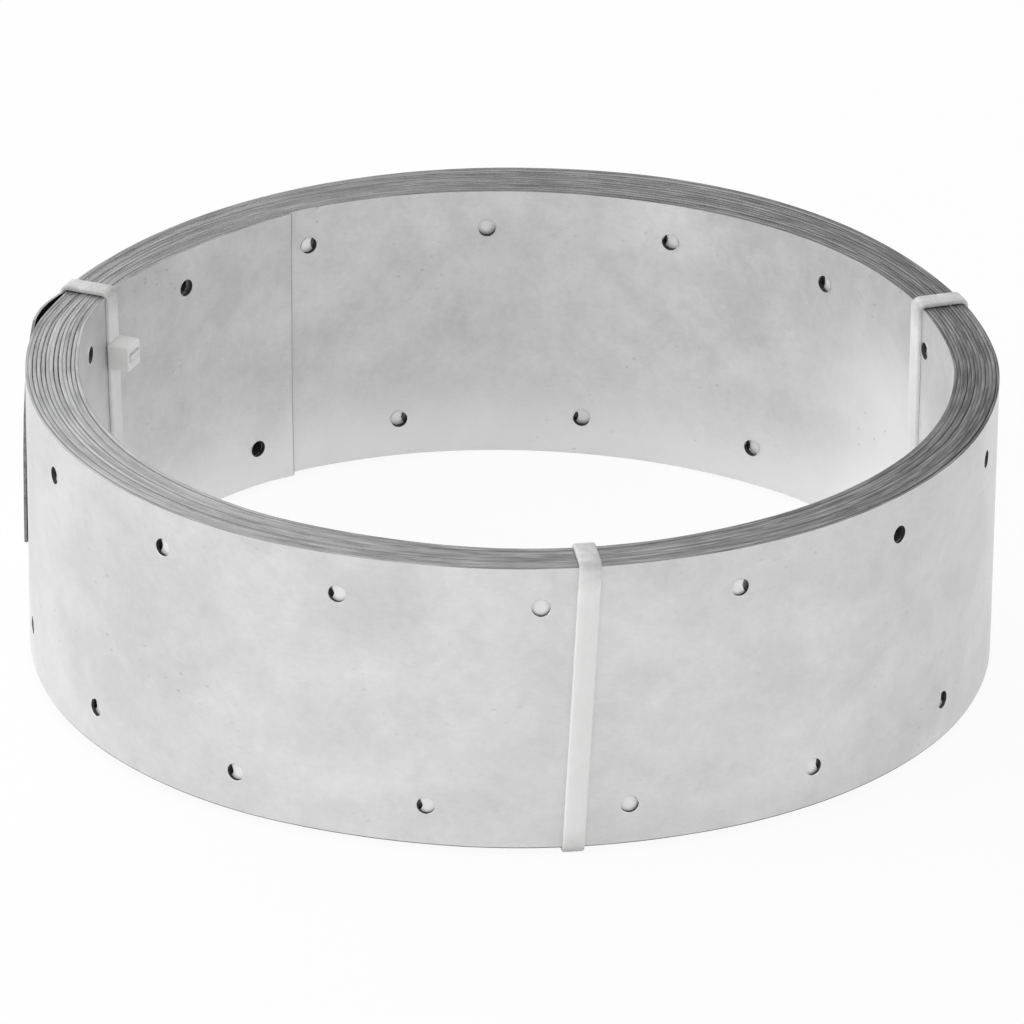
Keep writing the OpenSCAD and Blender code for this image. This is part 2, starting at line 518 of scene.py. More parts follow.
@dataclass(frozen=True)
class ZincFace:
    """The rolled and galvanised faces of the strap."""

    name: str = "zinc_face"
    dull: float = 0.57
    bright: float = 0.79
    tones: tuple[float, float, float, float] = (0.40, 0.30, 0.18, 0.12)
    speck: float = 0.34
    speck_share: float = 0.45
    metallic: float = 0.45
    roughness: float = 0.35
    rougher: tuple[float, float] = (0.10, 0.05)
    relief: tuple[float, float, float] = (0.8, 0.6, -0.8)
    relief_share: float = 0.14
    relief_depth: float = 0.04
    # Painted light towards the foot and on one side of the coil:
    painted_foot_light: float = 0.0
    painted_foot_light_from: tuple[float, float] = (22.0, 3.0)
    painted_light_wave: float = 4.0
    painted_side_light: float = 0.0
    painted_side_light_from: tuple[float, float] = (50.0, 30.0)
    painted_side_light_at: float = 25.0
    painted_side_light_power: float = 70.0
    painted_light_tone: float = 0.95
    # Painted shade between the turns:
    painted_gap_shade: float = 0.0
    painted_gap_shade_side: float = 0.7
    painted_gap_shade_colour: float = 0.02
    painted_gap_shade_edges: tuple[float, float] = (1.05, 50.9)
    painted_gap_shade_depth: tuple[float, float] = (2.6, 4.6)

    def material(self, effects: SurfaceEffects) -> bpy.types.Material:
        """Builds the material: cloudy zinc with a faint grain along the strap.

        Args:
            effects: the shared node groups.

        Returns:
            The material.
        """
        material, sheet, shader = new_material(self.name)
        run = sheet.run()
        broad = sheet.effect(effects.clouds, sheet.stretch(run, (0.8, 1.0, 1.0)),
                             Scale=19.0, Spread=0.14)
        clouds = sheet.effect(effects.clouds, run, Scale=70.0, Spread=0.17)
        bloom = sheet.effect(effects.clouds, run, Scale=420.0, Spread=0.22)
        grain = sheet.effect(effects.grain, run, Scale=1500.0, Stretch=0.55)
        specks = sheet.effect(effects.specks, sheet.stretch(run, (0.6, 1.0, 1.0)),
                              Scale=560.0, Size=0.16)
        shade = sheet.total(*zip((broad, clouds, bloom, grain), self.tones), clamp=True)
        colour = sheet.blend(shade, grey(self.dull), grey(self.bright))
        # Painted light: paler zinc towards the foot and on one side.
        if self.painted_foot_light > 0.0:
            colour = sheet.blend(self.painted_light_share(sheet, run, broad), colour, grey(self.painted_light_tone))
        # Painted shade between the turns near both edges, stronger on one side of the coil, and
        # under the loose outer end.
        if self.painted_gap_shade > 0.0:
            colour = sheet.blend(self.painted_gap_shade_share(sheet, run), colour, grey(self.painted_gap_shade_colour))
        dark = sheet.math("MULTIPLY", specks, self.speck_share)
        sheet.put(shader.inputs["Base Color"], sheet.blend(dark, colour, grey(self.speck)))
        shader.inputs["Metallic"].default_value = self.metallic
        sheet.put(shader.inputs["Roughness"],
                  sheet.total(*zip((bloom, grain), self.rougher), base=self.roughness))
        height = sheet.total(*zip((bloom, grain, specks), self.relief))
        sheet.bump(shader, height, self.relief_share, self.relief_depth * MM)
        return material

    def painted_light_share(self, sheet: NodeSheet, run: bpy.types.NodeSocket,
              broad: bpy.types.NodeSocket) -> bpy.types.NodeSocket:
        """Gives painted light: paler zinc towards its foot and most on one side.

        Args:
            sheet: the material's sheet.
            run: the place along and across the strap.
            broad: slow clouds, which make the border uneven.

        Returns:
            The share of the painted light's tone.
        """
        along, up, _ = sheet.parts(run)
        up = sheet.total((up, 1.0), (broad, self.painted_light_wave * MM))
        low, reach = (sheet.ramp(up, full * MM, start * MM, 1.0, 0.0)
                      for start, full in (self.painted_foot_light_from, self.painted_side_light_from))
        side = sheet.total((sheet.facing(along, self.painted_side_light_at), 0.5), base=0.5)
        side = sheet.math("MULTIPLY", sheet.math("POWER", side, self.painted_side_light_power), reach)
        return sheet.total((low, self.painted_foot_light), (side, self.painted_side_light), clamp=True)

    def painted_gap_shade_share(self, sheet: NodeSheet, run: bpy.types.NodeSocket) -> bpy.types.NodeSocket:
        """Gives painted shade between the turns, from both edges, stronger on one side of the coil,
        and under the loose outer end.

        Args:
            sheet: the material's sheet.
            run: the place along and across the strap.

        Returns:
            The share of the painted shade's colour.
        """
        along, up, _ = sheet.parts(run)
        low, high = self.painted_gap_shade_edges
        near, far = self.painted_gap_shade_depth
        foot = sheet.ramp(up, (low + near) * MM, (low + far) * MM, self.painted_gap_shade, 0.0)
        head = sheet.ramp(up, (high - far) * MM, (high - near) * MM, 0.0, self.painted_gap_shade)
        more = sheet.total((sheet.facing(along), self.painted_gap_shade_side), base=1.0)
        edges = sheet.math("MULTIPLY", sheet.math("ADD", foot, head), more)
        return sheet.math("ADD", edges, sheet.over(), clamp=True)


@dataclass(frozen=True)
class CutEdge:
    """The slit edges of the strap, bare steel that has dulled."""

    dull: float = 0.13
    bright: float = 0.36
    tones: tuple[float, float] = (0.5, 0.5)
    tarnish: float = 0.13
    painted_side_shade: float = 0.14
    grazing: float = 0.5
    roughness: float = 0.39
    rougher: float = 0.14
    relief_share: float = 0.25
    relief_depth: float = 0.05

    def material(self, effects: SurfaceEffects) -> bpy.types.Material:
        """Builds the material: darker steel with nicks along the edge, with painted shade that
        darkens it on one side of the coil and lightens it across from there.

        Args:
            effects: the shared node groups.

        Returns:
            The material.
        """
        material, sheet, shader = new_material("cut_edge")
        run = sheet.run()
        clouds = sheet.effect(effects.clouds, sheet.stretch(run, (0.5, 1.0, 1.0)),
                              Scale=80.0, Spread=0.22)
        nicks = sheet.effect(effects.grain, run, Scale=1500.0, Stretch=0.1)
        along, _, _ = sheet.parts(run)
        # Painted shade: darker towards +X, lighter across from there.
        shade = sheet.total(*zip((clouds, nicks), self.tones),
                            (sheet.facing(along), -self.painted_side_shade), base=-self.tarnish,
                            clamp=True)
        sheet.put(shader.inputs["Base Color"],
                  sheet.blend(shade, grey(self.dull), grey(self.bright)))
        shader.inputs["Metallic"].default_value = 1.0
        shader.inputs["Specular Tint"].default_value = grey(self.grazing)
        sheet.put(shader.inputs["Roughness"],
                  sheet.total((nicks, self.rougher), base=self.roughness))
        sheet.bump(shader, nicks, self.relief_share, self.relief_depth * MM)
        return material


@dataclass(frozen=True)
class PunchedWall:
    """The walls of the punched holes: torn steel, darker than the zinc, made near black as painted
    shade in the holes.
    """

    dull: float = 0.03
    bright: float = 0.11
    gloss: float = 0.2
    roughness: float = 0.6
    rougher: float = 0.2

    def material(self, effects: SurfaceEffects) -> bpy.types.Material:
        """Builds the material: near-black steel, partly darker torn steel and partly painted shade,
        streaked through the thickness.

        Args:
            effects: the shared node groups.

        Returns:
            The material.
        """
        material, sheet, shader = new_material("punched_wall_painted_shade")
        tears = sheet.effect(effects.grain, sheet.run(), Scale=2600.0, Stretch=1.0)
        sheet.put(shader.inputs["Base Color"],
                  sheet.blend(tears, grey(self.dull), grey(self.bright)))
        shader.inputs["Specular IOR Level"].default_value = self.gloss
        sheet.put(shader.inputs["Roughness"],
                  sheet.total((tears, self.rougher), base=self.roughness))
        return material


@dataclass(frozen=True)
class TieNylon:
    """The milky nylon of the cable ties."""

    dull: float = 0.86
    bright: float = 0.92
    tint: tuple[float, float, float] = (1.0, 1.0, 0.99)
    tones: tuple[float, float] = (0.75, 0.25)
    # The grey and strength of the painted shade seen through the band over the turns' edges.
    behind: float = 0.3
    painted_see_through: float = 0.7
    painted_edge_lines: float = 0.02
    painted_see_through_clouds: float = -0.3
    line_rate: float = 9500.0
    gloss: float = 0.3
    roughness: float = 0.46
    rougher: float = 0.12
    milk: float = 0.4
    milk_depth: float = 1.6
    milk_reach: tuple[float, float, float] = (1.0, 1.0, 0.97)
    relief: tuple[float, float] = (1.0, 0.4)
    relief_share: float = 0.12
    relief_depth: float = 0.05

    def material(self, effects: SurfaceEffects) -> bpy.types.Material:
        """Builds the material: moulded nylon, a little uneven and milky, darkened with painted
        shade where it lies over the turns' edges.

        Args:
            effects: the shared node groups.

        Returns:
            The material.
        """
        material, sheet, shader = new_material("tie_nylon")
        run = sheet.run()
        clouds = sheet.effect(effects.clouds, run, Scale=260.0, Spread=0.2)
        drawn = sheet.effect(effects.grain, run, Scale=1400.0, Stretch=0.08)
        shade = sheet.total(*zip((clouds, drawn), self.tones), clamp=True)
        milky = sheet.blend(shade, grey(self.dull, self.tint), grey(self.bright, self.tint))
        # Painted shade: the dark turns' edges seen through the nylon, as faint lines about one turn
        # apart, where the band lies over them.
        _, _, out = sheet.parts(run)
        lines = sheet.math("SINE", sheet.math("MULTIPLY", out, self.line_rate))
        seen = sheet.total((lines, self.painted_edge_lines), (clouds, self.painted_see_through_clouds),
                           base=self.painted_see_through)
        seen = sheet.math("MULTIPLY", sheet.over(), seen, clamp=True)
        sheet.put(shader.inputs["Base Color"], sheet.blend(seen, milky, grey(self.behind)))
        sheet.put(shader.inputs["Roughness"],
                  sheet.total((clouds, self.rougher), base=self.roughness))
        shader.inputs["Subsurface Weight"].default_value = self.milk
        shader.inputs["Subsurface Radius"].default_value = self.milk_reach
        shader.inputs["Subsurface Scale"].default_value = self.milk_depth * MM
        shader.inputs["Specular IOR Level"].default_value = self.gloss
        height = sheet.total(*zip((clouds, drawn), self.relief))
        sheet.bump(shader, height, self.relief_share, self.relief_depth * MM)
        return material


@dataclass
class Hole:
    """One punched hole in one turn of the strap, at an angle along the run."""

    at: float
    row: Row
    half_block: float


@dataclass
class Column:
    """The points across the strap at one angle along the run."""

    at: float
    outer: list[int] = field(default_factory=list)
    inner: list[int] = field(default_factory=list)
    top: list[int] = field(default_factory=list)
    foot: list[int] = field(default_factory=list)


@dataclass
class StrapCoil:
    """The strap, one strip wound into a coil, with its two loose ends and its holes."""

    name: str = "strap_wound"
    width: float = 49.85
    thickness: float = 0.51
    foot_z: float = 1.05
    turns: int = 13
    inner_end: float = 122.5
    outer_end: float = 170.4
    column_step: float = 1.5
    column_room: float = 0.45
    column_least: float = 0.09
    sharp_from: float = 15.0
    outline: RingProfile = field(default_factory=lambda: RingProfile((
        (0.0, 81.25), (8.0, 80.75), (18.5, 80.4), (28.0, 80.3), (38.0, 80.65), (46.0, 81.15),
        (52.0, 81.45), (62.0, 81.85), (72.0, 81.9), (84.0, 81.5), (94.0, 81.35), (104.0, 81.05),
        (118.0, 80.5), (130.0, 80.0), (142.0, 79.65), (150.0, 79.5), (158.0, 79.85),
        (163.0, 80.0), (167.0, 80.4), (171.0, 80.8), (185.0, 81.1), (208.0, 81.7),
        (217.0, 81.87), (237.0, 81.85), (247.0, 81.4), (256.0, 81.15), (270.0, 81.3),
        (288.0, 81.35), (299.0, 81.7), (310.0, 82.0), (324.0, 82.15), (333.0, 82.15),
        (345.0, 81.8))))
    depth: RingProfile = field(default_factory=lambda: RingProfile((
        (0.0, 7.6), (18.5, 7.7), (32.0, 8.0), (40.0, 8.5), (48.0, 8.95), (55.0, 9.35),
        (61.0, 9.55), (73.0, 9.5), (85.0, 9.25), (96.0, 9.4), (102.0, 9.3), (107.0, 9.15),
        (113.0, 8.9), (119.0, 8.45), (130.0, 7.9), (142.0, 7.4), (150.0, 7.15), (158.0, 7.1),
        (163.0, 7.25), (171.0, 8.2), (180.0, 8.9), (200.0, 9.0), (220.0, 8.8), (238.0, 8.6),
        (250.0, 8.3), (260.0, 7.9), (275.0, 7.5), (288.0, 7.5), (299.0, 7.9), (320.0, 7.95),
        (345.0, 7.65))))
    top_roll: tuple[float, float] = (0.26, 0.08)
    foot_roll: tuple[float, float] = (0.1, 0.2)
    edge_break: float = 0.05
    slit_gap: float = 0.09
    slit_share: float = 0.8
    step_share: float = 0.86
    sway: float = 0.45
    sway_most: float = 0.08
    rise: float = 0.1
    sag: float = 0.8
    sag_at: float = 75.0
    sag_spread: float = 28.0
    tail_room: tuple[float, float] = (135.0, 156.0)
    lap_to: float = 155.2
    lap_off: float = 0.85
    lap_round: float = 0.8
    lap_lip: tuple[float, float] = (0.7, 0.12)
    lap_lip_rise: float = 3.0
    lap_lip_span: float = 5.0
    sheared: float = 0.1
    tail_from: float = 161.0
    tail_bow: float = 0.7
    tail_top: float = 0.3
    tail_foot: float = 2.5
    tail_foot_power: float = 1.1
    tail_twist: float = 4.6
    tail_levels: tuple[float, ...] = (0.3, 0.5, 0.64, 0.76, 0.86, 0.94)
    snip_h: float = 8.2
    snip_l: float = 5.0
    snip_slope: float = 4.0
    shade_past: float = 0.6
    shade_levels: tuple[float, float] = (-0.8, 1.2)
    hole_r: float = 1.5
    hole_edge: float = 7.0
    rim_break: float = 0.09
    rim_sunk: float = 0.6
    burr_share: float = 1.25
    burr_most: float = 0.3
    burr_t: float = 0.05
    hole_sides: int = 28
    open_turns: tuple[int, int] = (2, 3)
    deep_turns: int = 5
    deep_outer: tuple[tuple[Row, int], ...] = ((Row.HIGH, 6),)
    deep_inner: tuple[tuple[Row, int], ...] = ((Row.HIGH, 0), (Row.LOW, 0))
    slip: float = 2.3
    slip_more: float = 0.2
    slip_turns_at: tuple[float, float] = (92.0, 277.0)
    slip_hidden: float = 10.0
    block: float = 2.6
    outer_step: float = 23.271
    inner_step: float = 25.954
    outer_holes: int = 15
    inner_holes: int = 14
    outer_starts: tuple[float, float] = (180.5, 190.9)
    inner_starts: tuple[float, float] = (142.1, 128.6)
    outer_r_usual: float = 81.5
    inner_r_usual: float = 73.0
    sketch: MeshSketch = field(default_factory=MeshSketch)

    @property
    def run_end(self) -> float:
        """The angle along the run at the outer end."""
        return self.outer_end + 360.0 * self.turns

    @property
    def tail_start(self) -> float:
        """The angle along the run at which the loose outer end springs off."""
        return self.tail_from + 360.0 * self.turns

    def behind_tail(self, at: float) -> bool:
        """Tells whether a stretch lies right behind the loose outer end."""
        return self.tail_start < at + 360.0 <= self.run_end

    def layer(self, at: float) -> float:
        """Gives how many turns lie outside the strap, which steps in near its outer end.

        Args:
            at: the angle along the run.

        Returns:
            The count of turns, whole except where the strap steps in.
        """
        inwards = (self.run_end - at) / 360.0
        whole = math.floor(inwards + 1e-9)
        return whole + smooth_step((inwards - whole - self.step_share) / (1.0 - self.step_share))

    def gap(self, at: float) -> float:
        """Gives the gap between turns, which open out between the ties."""
        return (self.depth.at(at) - self.turns * self.thickness) / (self.turns - 1)

    def slit(self, at: float) -> float:
        """Gives how far the burr of a covered turn's upper edge reaches into the gap."""
        covered = at < self.run_end - 360.0
        return self.slit_share * max(self.gap(at) - self.slit_gap, 0.0) if covered else 0.0

    def room(self, at: float) -> float:
        """Gives how many turns lie outside the one that the outline follows.

        Args:
            at: the angle, of any turn.

        Returns:
            The count: 1 under the loose outer end, else 0, and between them in between.
        """
        turn = at % 360.0
        if turn <= self.outer_end:
            start, stop = self.tail_room
            return smooth_step((turn - start) / (stop - start))
        return self.layer(turn + 360.0 * (self.turns - 1))

    def spring(self, at: float, up: float) -> float:
        """Gives how far the loose ends stand off the turn next to them.

        Args:
            at: the angle along the run.
            up: the height across the strap, from 0 to 1.

        Returns:
            The distance outwards, less than 0 at the inner end.
        """
        if at < 360.0:
            share = (at - self.inner_end) / (self.lap_to - self.inner_end)
            foot, top = self.lap_lip
            lip = (foot + (top - foot) * smooth_step(self.lap_lip_rise * up)) * smooth_step(
                1.0 - (at - self.inner_end) / self.lap_lip_span)
            bow = math.sin(math.pi * min(max(share, 0.0), 1.0)) ** self.lap_round
            return -lip - self.lap_off * bow
        past = at - self.tail_start
        if past <= 0.0:
            return 0.0
        share = past / (self.outer_end - self.tail_from)
        top = self.tail_bow * math.sin(math.pi * share) + self.tail_top * share
        foot = self.tail_foot * share ** self.tail_foot_power
        return foot + (top - foot) * max(up, 0.0) ** self.tail_twist

    def outer_r(self, at: float, z: float) -> float:
        """Gives the radius of the strap's outer face.

        Args:
            at: the angle along the run.
            z: the height.

        Returns:
            The radius.
        """
        gap = self.gap(at)
        inwards = self.layer(at) - self.room(at)
        radius = self.outline.at(at) - inwards * (self.thickness + gap)
        radius += min(self.sway * gap, self.sway_most) * wander(at, Wave.SWAY)
        return radius + self.spring(at, (z - self.foot_z) / self.width)

    def lift(self, at: float) -> float:
        """Gives how far this stretch of the strap stands above or below the others.

        Args:
            at: the angle along the run.

        Returns:
            The height; the inner turns sag at the back, where the ties are far apart.
        """
        off = angle_between(at, self.sag_at) / self.sag_spread
        sag = self.sag * math.exp(-off * off) * self.layer(at) / (self.turns - 1)
        return self.rise * wander(at, Wave.RISE) - sag

    def foot(self, at: float) -> float:
        """Gives the height of the lower edge, with the corner snipped off the outer end.

        Args:
            at: the angle along the run.

        Returns:
            The height.
        """
        left = math.radians(self.run_end - at) * self.outer_r_usual - self.snip_l
        share = min(max(1.0 - left / self.snip_slope, 0.0), 1.0)
        return self.foot_z + self.lift(at) + self.snip_h * share

    def head(self, at: float) -> float:
        """Gives the height of the upper edge."""
        return self.foot_z + self.lift(at) + self.width

    def row_z(self, at: float, row: Row) -> float:
        """Gives the height of the middle of a hole in one of the rows."""
        off = self.hole_edge if row is Row.LOW else self.width - self.hole_edge
        return self.foot_z + self.lift(at) + off

    def holes(self) -> list[Hole]:
        """Lists the holes of the turns that show, in order along the run.

        Returns:
            The holes, those of the inner turns first.
        """
        found = []
        for row, inner_from, outer_from in zip((Row.HIGH, Row.LOW), self.inner_starts,
                                               self.outer_starts):
            for i in range(self.inner_holes):
                at = inner_from + i * self.inner_step
                found += self.bored(at, row, (row, i) in self.deep_inner, True)
            for i in range(self.outer_holes):
                at = outer_from + i * self.outer_step + 360.0 * (self.turns - 1)
                found += self.bored(at, row, (row, i) in self.deep_outer, False)
        return sorted((h for h in found if h.at < self.run_end), key=lambda h: h.at)

    def bored(self, at: float, row: Row, deep: bool, inside: bool) -> list[Hole]:
        """Lists the holes behind one another at one place, from the face inwards.

        Args:
            at: the angle along the run of the hole that shows.
            row: its row.
            deep: whether the holes behind it line up with it.
            inside: whether it is on the inner turn.

        Returns:
            The holes; those behind have slipped along the strap, unless it is deep, and
            nothing is open behind it where the slip hides them.
        """
        radius = self.inner_r_usual if inside else self.outer_r_usual
        half = math.degrees(self.block / radius)
        ahead = 360.0 if inside else -360.0
        if deep:
            return [Hole(at + ahead * k, row, half) for k in range(self.deep_turns)]
        middle = self.slip_turns_at[0 if inside else 1]
        past = angle_between(at, middle)
        if abs(past) < self.slip_hidden:
            return [Hole(at, row, half)]
        shaded = past < 0.0
        slip = self.slip + self.slip_more * wander(at, Wave.SLIP)
        off = math.degrees(slip / radius) * (-1.0 if shaded != inside else 1.0)
        count = self.open_turns[1 if shaded else 0]
        return [Hole(at, row, half)] + [Hole(at + ahead * k + off, row, half)
                                        for k in range(1, count)]

    def place(self, at: float, radius: float, z: float, under: float = 0.0) -> int:
        """Adds a point of the strap.

        Args:
            at: the angle along the run.
            radius: its distance from the coil's axis.
            z: its height.
            under: 1 where the loose outer end keeps the light off, else 0.

        Returns:
            The point's number.
        """
        turn = math.radians(at)
        spot = Vector((radius * math.cos(turn), radius * math.sin(turn), z))
        return self.sketch.point(spot, (turn * RUN_RADIUS, z, radius), under)

    def column(self, at: float, levels: tuple[float, ...] = ()) -> Column:
        """Draws the points across the strap at one angle.

        Args:
            at: the angle along the run.
            levels: heights of more points on the two faces.

        Returns:
            The column.
        """
        low, high, c = self.foot(at), self.head(at), self.edge_break
        col = Column(at)
        # Painted shade mask: 1 on the covered turn where the loose outer end lies over it, at its
        # top edge there, and on the loose end's inner face.
        behind = self.behind_tail(at)
        shaded_from = self.foot(at + 360.0) - self.shade_past if behind else math.inf
        before = float(at > self.tail_start)
        for z in (low + self.foot_roll[1], *levels):
            col.outer.append(self.place(at, self.outer_r(at, z), z, float(z > shaded_from)))
        z = high - self.top_roll[1]
        col.outer.append(self.place(at, self.outer_r(at, z) + self.slit(at), z, float(behind)))
        for z in (low + c, *levels, high - c):
            col.inner.append(self.place(at, self.outer_r(at, z) - self.thickness, z, before))
        for edge, z, inset in ((col.top, high, self.top_roll[0]),
                               (col.foot, low, self.foot_roll[0])):
            radius = self.outer_r(at, z)
            edge.append(self.place(at, radius - inset, z))
            edge.append(self.place(at, radius - self.thickness + c, z))
        return col

    def clear_angles(self, holes: list[Hole]) -> list[float]:
        """Lists the columns clear of the holes: an even grid, the ends and their corners.

        Args:
            holes: the holes.

        Returns:
            The columns' angles along the run, in order.
        """
        snips = [math.degrees(back / self.outer_r_usual)
                 for back in (self.snip_l, self.snip_l + self.snip_slope)]
        angles = [self.inner_end, self.inner_end + self.sheared,
                  *(self.run_end - snip for snip in snips), self.run_end]
        start = math.ceil(self.inner_end / self.column_step)
        stop = math.ceil(self.run_end / self.column_step)
        angles += [i * self.column_step for i in range(start, stop)]
        clear = []
        for at in sorted(angles):
            inside = any(abs(at - h.at) < h.half_block + self.column_room for h in holes)
            if not inside and (not clear or at - clear[-1] > self.column_least):
                clear.append(at)
        return clear

    def levels(self, at: float) -> tuple[float, ...]:
        """Gives the heights of more points on the faces, where a loose end bends or shades.

        Args:
            at: the angle along the run.

        Returns:
            The heights, none where the strap is plain.
        """
        if at > self.tail_start or at < self.inner_end + self.lap_lip_span:
            return tuple(self.foot_z + self.width * share for share in self.tail_levels)
        if self.behind_tail(at):
            return tuple(self.foot_z + self.snip_h + off for off in self.shade_levels)
        return ()

    def columns(self, holes: list[Hole]) -> list[tuple[Column, Hole | None]]:
        """Draws all columns: those clear of the holes, and three through each hole.

        Args:
            holes: the holes, in order.

        Returns:
            Each column, with its hole where it is the first of a hole's three.
        """
        drawn = [(at, None, self.levels(at)) for at in self.clear_angles(holes)]
        for hole in holes:
            z = self.row_z(hole.at, hole.row)
            levels = (z - self.block, z + self.block)
            drawn.append((hole.at - hole.half_block, hole, levels))
            drawn += [(hole.at + d, None, levels) for d in (0.0, hole.half_block)]
        drawn.sort(key=lambda entry: entry[0])
        return [(self.column(at, levels), hole) for at, hole, levels in drawn]

    def edges(self, a: Column, b: Column) -> None:
        """Draws the upper and lower edges between two columns.

        Args:
            a: the first column.
            b: the next one along the run.
        """
        draw, cut = self.sketch.face, StrapFinish.CUT_EDGE
        draw([a.top[0], b.top[0], b.top[1], a.top[1]], cut)
        draw([a.outer[-1], b.outer[-1], b.top[0], a.top[0]], cut)
        draw([a.top[1], b.top[1], b.inner[-1], a.inner[-1]], cut)
        draw([a.foot[1], b.foot[1], b.foot[0], a.foot[0]], cut)
        draw([a.foot[0], b.foot[0], b.outer[0], a.outer[0]], cut)
        draw([a.inner[0], b.inner[0], b.foot[1], a.foot[1]], cut)

    def face_finish(self, at: float, outside: bool) -> StrapFinish:
        """Gives a face's finish: the turns between the first and last are covered, and their faces
        and the inner wall take copies of the zinc that carry painted light and shade.

        Args:
            at: the angle along the run.
            outside: whether it is the outer face.

        Returns:
            The finish.
        """
        if outside and at >= self.run_end - 360.0:
            return StrapFinish.FACE
        if at < self.inner_end + 0.5 * self.sheared:
            return StrapFinish.CUT_EDGE
        if not outside and at < self.inner_end + 360.0:
            return StrapFinish.INNER_FACE
        return StrapFinish.COVERED_FACE if outside else StrapFinish.COVERED_BACK

    def plain_faces(self, a: Column, b: Column) -> None:
        """Draws the two faces between two columns with no hole between them.

        Args:
            a: the first column.
            b: the next one along the run.
        """
        out, back = self.face_finish(a.at, True), self.face_finish(a.at, False)
        if len(a.outer) != len(b.outer):
            self.sketch.face([a.outer[0], *b.outer, *reversed(a.outer[1:])], out)
            self.sketch.face([*a.inner, *reversed(b.inner)], back)
            return
        for i in range(len(a.outer) - 1):
            self.sketch.face([a.outer[i], b.outer[i], b.outer[i + 1], a.outer[i + 1]], out)
            self.sketch.face([a.inner[i], a.inner[i + 1], b.inner[i + 1], b.inner[i]], back)

    def pierced_faces(self, a: Column, b: Column) -> None:
        """Draws the two faces above and below a hole, between two of its columns.

        Args:
            a: the first column.
            b: the next one along the run.
        """
        draw = self.sketch.face
        for i, j in ((0, 1), (2, 3)):
            draw([a.outer[i], b.outer[i], b.outer[j], a.outer[j]], self.face_finish(a.at, True))
            draw([a.inner[i], a.inner[j], b.inner[j], b.inner[i]], self.face_finish(a.at, False))

    def rings(self, hole: Hole) -> list[list[int]]:
        """Draws the loops of a hole: rim, wall, and the burr that the punch left inside.

        Args:
            hole: the hole.

        Returns:
            The loops, each anticlockwise seen from outside the coil.
        """
        z_mid, loops = self.row_z(hole.at, hole.row), []
        radius_mid = self.outer_r(hole.at, z_mid)
        wide, t = self.hole_r + self.rim_break, self.thickness
        burr = min(self.burr_share * self.gap(hole.at), self.burr_most)
        lip = self.burr_t + self.hole_r
        start = [(self.hole_r, self.rim_sunk * self.rim_break)]
        if hole.at < self.inner_end + 360.0:
            start = [(lip, -burr), (self.hole_r, -burr)]
        for radius, sunk in ((wide, 0.0), *start, (self.hole_r, t + burr), (lip, t + burr),
                             (wide, t)):
            loop = []
            for j in range(self.hole_sides):
                turn = 2.0 * math.pi * j / self.hole_sides
                at = hole.at + math.degrees(radius * math.cos(turn) / radius_mid)
                z = z_mid + radius * math.sin(turn)
                loop.append(self.place(at, self.outer_r(at, z) - sunk, z))
            loops.append(loop)
        return loops

    def around(self, hole: Hole, frame_points: list[int], loop: list[int], outside: bool) -> None:
        """Fills the face between a hole's rim and the frame round it.

        Args:
            hole: the hole.
            frame_points: the frame's points, anticlockwise seen from outside the coil.
            loop: the rim's points, the same way.
            outside: whether this is the outer face.
        """
        z_mid = self.row_z(hole.at, hole.row)
        wall = self.outer_r(hole.at, z_mid)

        def bearing(i: int) -> float:
            """Gives a point's bearing from the middle of the hole.

            Args:
                i: the point's number.

            Returns:
                The bearing, in radians.
            """
            x, y, z = (c / MM for c in self.sketch.points[i])
            across = math.radians(angle_between(math.degrees(math.atan2(y, x)), hole.at)) * wall
            return math.atan2(z - z_mid, across)

        turns = [bearing(i) for i in frame_points]
        sides, full = len(loop), 2.0 * math.pi
        first = min(range(sides), key=lambda j: abs(
            (full * j / sides - turns[0] + math.pi) % full - math.pi))
        i = j = 0
        corners = len(frame_points)

        def draw(triangle: list[int]) -> None:
            """Draws a triangle, turned over on the inner face."""
            self.sketch.face(triangle if outside else triangle[::-1],
                             self.face_finish(hole.at, outside))

        while i < corners or j < sides:
            b, b_next = frame_points[i % corners], frame_points[(i + 1) % corners]
            c, c_next = loop[(first + j) % sides], loop[(first + j + 1) % sides]
            gone_b = (turns[(i + 1) % corners] - turns[0]) % full if i + 1 < corners else full
            gone_c = full * (j + 1) / sides
            if j >= sides or (i < corners and gone_b <= gone_c):
                draw([b, b_next, c])
                i += 1
            else:
                draw([c_next, c, b])
                j += 1

    def pierce(self, hole: Hole, three: list[Column]) -> None:
        """Draws a hole in the room that its three columns leave for it.

        Args:
            hole: the hole.
            three: its columns, in order along the run.
        """
        loops = self.rings(hole)
        for points, loop, outside in (("outer", loops[0], True), ("inner", loops[-1], False)):
            a, c, b = (getattr(col, points) for col in three)
            self.around(hole, [a[1], c[1], b[1], b[2], c[2], a[2]], loop, outside)
        # The rims of covered turns take the near-black wall finish, as painted shade in the hole.
        covered = (StrapFinish.COVERED_FACE, StrapFinish.COVERED_BACK)
        rims = [StrapFinish.PUNCHED_WALL if finish in covered else finish
                for finish in (self.face_finish(hole.at, side) for side in (True, False))]
        finishes = rims[:1] * (len(loops) - 4) + [StrapFinish.PUNCHED_WALL] + rims[1:] * 2
        for first, second, finish in zip(loops, loops[1:], finishes):
            self.sketch.band(first, second, finish)

    def cap(self, col: Column, at_start: bool) -> None:
        """Closes the strap at one of its two ends.

        Args:
            col: the column at the end.
            at_start: whether it is the inner end.
        """
        parts = [[col.outer[i], col.outer[i + 1], col.inner[i + 1], col.inner[i]]
                 for i in range(len(col.outer) - 1)]
        parts.append([col.outer[-1], col.top[0], col.top[1], col.inner[-1]])
        parts.append([col.foot[0], col.outer[0], col.inner[0], col.foot[1]])
        for part in parts:
            self.sketch.face(part if at_start else part[::-1], StrapFinish.CUT_EDGE)

